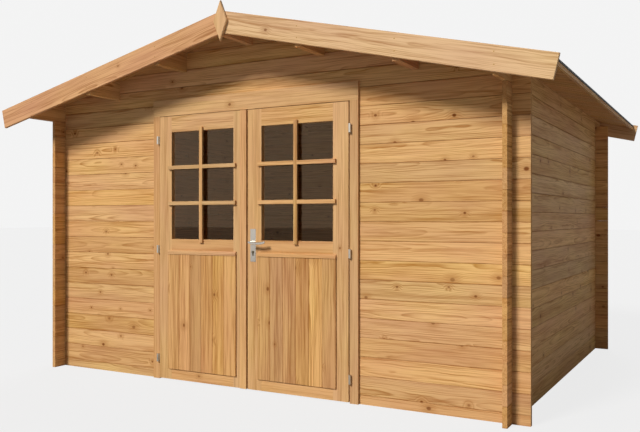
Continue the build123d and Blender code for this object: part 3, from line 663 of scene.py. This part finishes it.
BEAMS_X = (0.56, 1.201, SIDE_WALL_MIDDLE)
BARGE_SCREW_RADIUS = 0.0038
BARGE_SCREW_PROUD = 0.0006
BARGE_SCREW_SPREAD = 0.035
screws = []
for face, facing in ((low.y, -1), (high.y, 1)):
    turn = (-facing * math.pi / 2, 0, 0)
    for x in BEAMS_X:
        middle_z = apex - x * math.tan(ROOF_ANGLE) - BARGE_WIDTH / 2 / math.cos(ROOF_ANGLE)
        for sign in (-1, 1):
            for z in (middle_z - BARGE_SCREW_SPREAD, middle_z + BARGE_SCREW_SPREAD):
                place = (sign * x, face + facing * BARGE_SCREW_PROUD / 2, z)
                screws.append(nail_head(place, turn, BARGE_SCREW_RADIUS, BARGE_SCREW_PROUD))
barge_screws = join("barge_screws", screws)
barge_screws.data.materials.append(metal("yellow_zinc", colour(168, 130, 74), 0.35, 0.55))
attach(barge_screws, "shed")

# The floor.
# Bare tongued and grooved boards, 18 mm thick, from front to back on pine bearers that lie
# on the ground.

FLOOR_BOARD_COUNT = 32
FLOOR_V = 0.0012
JOIST_SPACING = 0.53
BARE_PINE = {"Light_wood": colour(226, 196, 148), "Late_wood": colour(196, 154, 104)}
joist_wood = pine_finish("joists", (0, 1, 2), Lot=16, First_edge=-1.6, Board_width=JOIST_SPACING,
                         **BARE_PINE)
dress(joist_wood, "floor_joists")
low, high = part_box("floor_boards")
pitch = (high.x - low.x) / FLOOR_BOARD_COUNT
floor_row = begin("floor_board_row", (low.x + BOARD_GAP / 2, low.y, low.z),
                  (low.x + pitch - BOARD_GAP / 2, high.y, high.z))
settle(floor_row)
bevel_edges(floor_row, FLOOR_V, lambda a, b: min(a.z, b.z) > low.z + 0.01 and abs(a.y - b.y) > 1)
repeat(floor_row, FLOOR_BOARD_COUNT, (pitch, 0, 0))
wood = pine_finish("floor_boards", (1, 0, 2), Lot=17, First_edge=low.x, Board_width=pitch,
                   Joint_stain=0.5, Off_pith=0.05, **BARE_PINE)
floor_row.data.materials.append(wood)
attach(floor_row, "shed")
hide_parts("floor_boards")

# The door frame.
# Rebated pine jambs with a casing inside and out, which hold the cut ends of the logs and
# let them settle. The head lies over both jambs, and the sill stands between them.

DOOR_MIDDLE = 1.41
STILE_SPACING = 0.3835
DOOR_PINE = {"Light_wood": colour(217, 172, 120), "Late_wood": colour(170, 120, 70), "Wander": 0.5,
             "Middle": DOOR_MIDDLE}
uprights = {"First_edge": 0.0, "Board_width": STILE_SPACING, "Tone_spread": 0.10}
jamb_pine = {**DOOR_PINE, "Light_wood": colour(206, 163, 114)}
jamb_wood = pine_finish("jambs", (2, 0, 1), Lot=20, Knot_share=0.15, **uprights, **jamb_pine)
head_wood = pine_finish("door_head", (0, 2, 1), Lot=21, Knot_share=0.2, **DOOR_PINE)
cap_wood = pine_finish("door_cap", (0, 2, 1), Lot=22, Knot_share=0.2, **DOOR_PINE)
dress(jamb_wood, "left_door_jamb", "right_door_jamb")
dress(head_wood, "door_head")
dress(cap_wood, "door_cap", "door_sill")

# The door leaves.
# Mortised pine frames. The lower panel is upright boards, tongued and grooved, that lap over
# the frame, under a drip strip. Above it is one pane behind a lapped grid of glazing bars.

RAIL_SPACING = 0.34
leaf_uprights = pine_finish("leaf_uprights", (2, 0, 1), Lot=23, Knot_share=0.15, **uprights,
                            **DOOR_PINE)
rails = {"First_edge": 0.0, "Board_width": RAIL_SPACING, "First_end": 0.0, "Tone_spread": 0.10}
leaf_rails = pine_finish("leaf_rails", (0, 2, 1), Lot=24, Knot_share=0.2, **rails, **DOOR_PINE)
strip_wood = pine_finish("drip_strips", (0, 2, 1), Lot=25, First_end=0.0, Knot_share=0.1, **DOOR_PINE)
cover_wood = pine_finish("cover_strip", (2, 0, 1), Lot=26, Knot_share=0.1, **DOOR_PINE)
dress(cover_wood, "left_door_cover_strip")

glass, tree, shader, output = new_finish("window_glass")
shader.inputs["Base Color"].default_value = (1.0, 0.95, 0.88, 1)
shader.inputs["Roughness"].default_value = 0.01
shader.inputs["IOR"].default_value = 1.47
# The warm tint on the pane's reflection is a painted reflection: it stands in for the brown of the
# surroundings and room that the pane mirrors, which clear glass would show uncoloured.
shader.inputs["Specular Tint"].default_value = (1.0, 0.69, 0.42, 1)
shader.inputs["Transmission Weight"].default_value = 1.0

# Light that falls into the shed, and light that comes back from its walls, goes straight
# through the pane.
clear = add_node(tree, "BsdfTransparent", {"Color": (1.0, 0.97, 0.93, 1)})
sight = add_node(tree, "LightPath", {}).outputs
straight = larger(tree, sight["Is Shadow Ray"], sight["Is Diffuse Ray"])
both = add_node(tree, "MixShader", {0: straight, 1: shader.outputs[0], 2: clear.outputs[0]})
tree.links.new(both.outputs[0], output.inputs["Surface"])

PANEL_BOARD_COUNT = 6
PANEL_FACE = 0.010
PANEL_LIP = 0.025
PANEL_FIT = 0.0005
PANEL_V = 0.0008
PANEL_PINE = {**DOOR_PINE, "Light_wood": colour(213, 164, 107), "Late_wood": colour(166, 112, 60),
              "Joint_stain": 0.3, "Knot_share": 0.3, "Tone_spread": 0.32, "Off_pith": 0.08,
              "Figure": 1.5}
PANE_NEAR = 0.114
PANE_FAR = 0.6555
BAR_WIDTH = 0.027
BAR_THICKNESS = 0.016
BAR_LAP = 0.023
BAR_ARRIS = 0.0015


def notch(piece, low, high):
    """Cuts a housing out of a piece."""
    cutter = begin("cutter", low, high)
    settle(cutter)
    bpy.context.view_layer.objects.active = piece
    housing = piece.modifiers.new("housing", "BOOLEAN")
    housing.operation = "DIFFERENCE"
    housing.object = cutter
    bpy.ops.object.modifier_apply(modifier=housing.name)
    bpy.data.objects.remove(cutter)


for side, sign in (("left", -1), ("right", 1)):
    leaf = side + "_door"
    dress(leaf_uprights, leaf + "_hinge_stile", leaf + "_meeting_stile")
    dress(leaf_rails, leaf + "_top_rail", leaf + "_mid_rail", leaf + "_bottom_rail")
    dress(strip_wood, leaf + "_drip_strip")
    dress(glass, leaf + "_glass")

    low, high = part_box(leaf + "_panel")
    face_back = low.y + PANEL_FACE
    pitch = (high.x - low.x) / PANEL_BOARD_COUNT
    boards = begin(leaf + "_panel_boards", (low.x + PANEL_FIT / 2, low.y, low.z),
                   (low.x + pitch - PANEL_FIT / 2, face_back, high.z))
    settle(boards)
    bevel_edges(boards, PANEL_V, lambda a, b: max(a.y, b.y) < low.y + 0.001)
    repeat(boards, PANEL_BOARD_COUNT, (pitch, 0, 0))
    inset = PANEL_LIP + PANEL_FIT
    core = begin(leaf + "_panel_core", (low.x + inset, face_back, low.z + inset),
                 (high.x - inset, high.y, high.z - inset))
    settle(core)
    bevel_edges(core, PANEL_FIT, lambda a, b: min(a.y, b.y) > high.y - 0.001)
    panel = join(leaf + "_panel_boards", [boards, core])
    wood = pine_finish(leaf + "_panel_boards", (2, 0, 1), Lot=28 + sign,
                       First_edge=low.x, Board_width=pitch, **PANEL_PINE)
    panel.data.materials.append(wood)
    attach(panel, leaf)
    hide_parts(leaf + "_panel")

    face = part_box(leaf + "_hinge_stile")[0].y
    pane_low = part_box(leaf + "_mid_rail")[1].z
    pane_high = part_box(leaf + "_top_rail")[0].z
    middle_x = sign * (PANE_NEAR + PANE_FAR) / 2
    half = BAR_WIDTH / 2
    front = face - BAR_THICKNESS
    half_deep = face - BAR_THICKNESS / 2
    upright = begin(leaf + "_glazing_bars", (middle_x - half, front, pane_low - BAR_LAP),
                    (middle_x + half, face, pane_high + BAR_LAP))
    settle(upright)
    bevel_edges(upright, BAR_ARRIS, lambda a, b: max(a.y, b.y) < face - 0.001)
    bars = []
    for step in (1, 2):
        level = pane_low + step * (pane_high - pane_low) / 3
        left, right = sorted((sign * (PANE_NEAR - BAR_LAP), sign * (PANE_FAR + BAR_LAP)))
        bar = begin("bar", (left, front, level - half), (right, face, level + half))
        settle(bar)
        bevel_edges(bar, BAR_ARRIS, lambda a, b: max(a.y, b.y) < face - 0.001)
        notch(bar, (middle_x - half, face - BAR_THICKNESS * 1.5, level - BAR_WIDTH),
              (middle_x + half, half_deep, level + BAR_WIDTH))
        notch(upright, (middle_x - BAR_WIDTH, half_deep, level - half),
              (middle_x + BAR_WIDTH, face + BAR_THICKNESS / 2, level + half))
        bars.append(bar)
    cross_bars = join(leaf + "_cross_bars", bars)
    bar_wood = {**DOOR_PINE, "Knot_share": 0.0}
    wood = pine_finish(leaf + "_upright_bar", (2, 0, 1), Lot=31 + sign, **bar_wood)
    upright.data.materials.append(wood)
    wood = pine_finish(leaf + "_cross_bars", (0, 2, 1), Lot=34 + sign, **bar_wood)
    cross_bars.data.materials.append(wood)
    for piece in (upright, cross_bars):
        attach(piece, leaf)

# The hinges.
# Zinc-plated lift-off hinges, three to a leaf. Their plates are let into the gap between leaf
# and jamb, and only the barrels stand out in front, the upper one hung on the lower one's pin.

zinc = metal("zinc", colour(216, 209, 196), 0.22, 0.45)
dress(zinc, "hinge_pins", "left_door_hinges", "right_door_hinges")

# The lock and the lever.
# Satin nickel plates on both faces of the right leaf, each with a bowed lever on the shared
# spindle, two screws, and the profile cylinder under the lever.

nickel, tree, shader, _ = new_finish("satin_nickel")
place = add_node(tree, "TexCoord", {}).outputs["Object"]
stretched = add_node(tree, "Mapping", {"Vector": place, "Scale": (900.0, 900.0, 40.0)}).outputs[0]
brush = add_node(tree, "TexNoise", {"Vector": stretched, "Scale": 1.0, "Detail": 2.0}).outputs[0]
satin = add_node(tree, "MapRange", {"Value": brush, "To Min": 0.12, "To Max": 0.28}).outputs[0]
tree.links.new(satin, shader.inputs["Roughness"])
shader.inputs["Base Color"].default_value = colour(230, 221, 208)
shader.inputs["Metallic"].default_value = 1.0
bump = add_node(tree, "Bump", {"Height": brush, "Strength": 0.15, "Distance": 0.0002})
tree.links.new(bump.outputs[0], shader.inputs["Normal"])
dress(nickel, "right_door_lock_plates", "door_lever")

CYLINDER_Z = 0.934
BARREL_RADIUS = 0.0085
BARREL_DEPTH = 0.005
BARREL_PROUD = 0.004
TAIL_WIDTH = 0.010
TAIL_DROP = 0.0245
TAIL_PROUD = 0.001
KEYWAY_WIDTH = 0.0016
KEYWAY_HEIGHT = 0.009
KEYWAY_DEPTH = 0.0025
LOCK_SCREW_INSET = 0.012
LOCK_SCREW_RADIUS = 0.0042
LOCK_SCREW_PROUD = 0.0008
plate_low, plate_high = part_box("right_door_lock_plates")
plate_x = (plate_low.x + plate_high.x) / 2
lock_screws = []
cylinders = []
for face, facing in ((plate_low.y, -1), (plate_high.y, 1)):
    turn = (-facing * math.pi / 2, 0, 0)
    for z in (plate_low.z + LOCK_SCREW_INSET, plate_high.z - LOCK_SCREW_INSET):
        place = (plate_x, face + facing * LOCK_SCREW_PROUD / 2, z)
        lock_screws.append(nail_head(place, turn, LOCK_SCREW_RADIUS, LOCK_SCREW_PROUD))
    end = face + facing * BARREL_PROUD
    place = (plate_x, end - facing * BARREL_DEPTH / 2, CYLINDER_Z)
    bpy.ops.object.select_all(action="DESELECT")
    bpy.ops.mesh.primitive_cylinder_add(vertices=32, radius=BARREL_RADIUS, depth=BARREL_DEPTH,
                                        location=place, rotation=turn)
    barrel = bpy.context.object
    settle(barrel)
    tail = begin("tail", (plate_x - TAIL_WIDTH / 2, face - TAIL_PROUD, CYLINDER_Z - TAIL_DROP),
                 (plate_x + TAIL_WIDTH / 2, face + TAIL_PROUD, CYLINDER_Z))
    settle(tail)
    notch(barrel, (plate_x - KEYWAY_WIDTH / 2, end - KEYWAY_DEPTH, CYLINDER_Z - KEYWAY_HEIGHT / 2),
          (plate_x + KEYWAY_WIDTH / 2, end + KEYWAY_DEPTH, CYLINDER_Z + KEYWAY_HEIGHT / 2))
    cylinders += [barrel, tail]
cylinders = join("lock_cylinders", cylinders)
# The cylinder's brass is far darker than brass is: painted shade, standing in for the dark of the
# keyhole.
cylinders.data.materials.append(metal("brass_with_painted_shade", colour(96, 86, 66), 0.35, 0.5))
lock_screws = join("lock_screws", lock_screws)
lock_screws.data.materials.append(nickel)
for piece in (cylinders, lock_screws):
    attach(piece, "right_door")

size = {"cad": [list(cad_low), list(cad_high)], "visual": [list(corner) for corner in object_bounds()]}
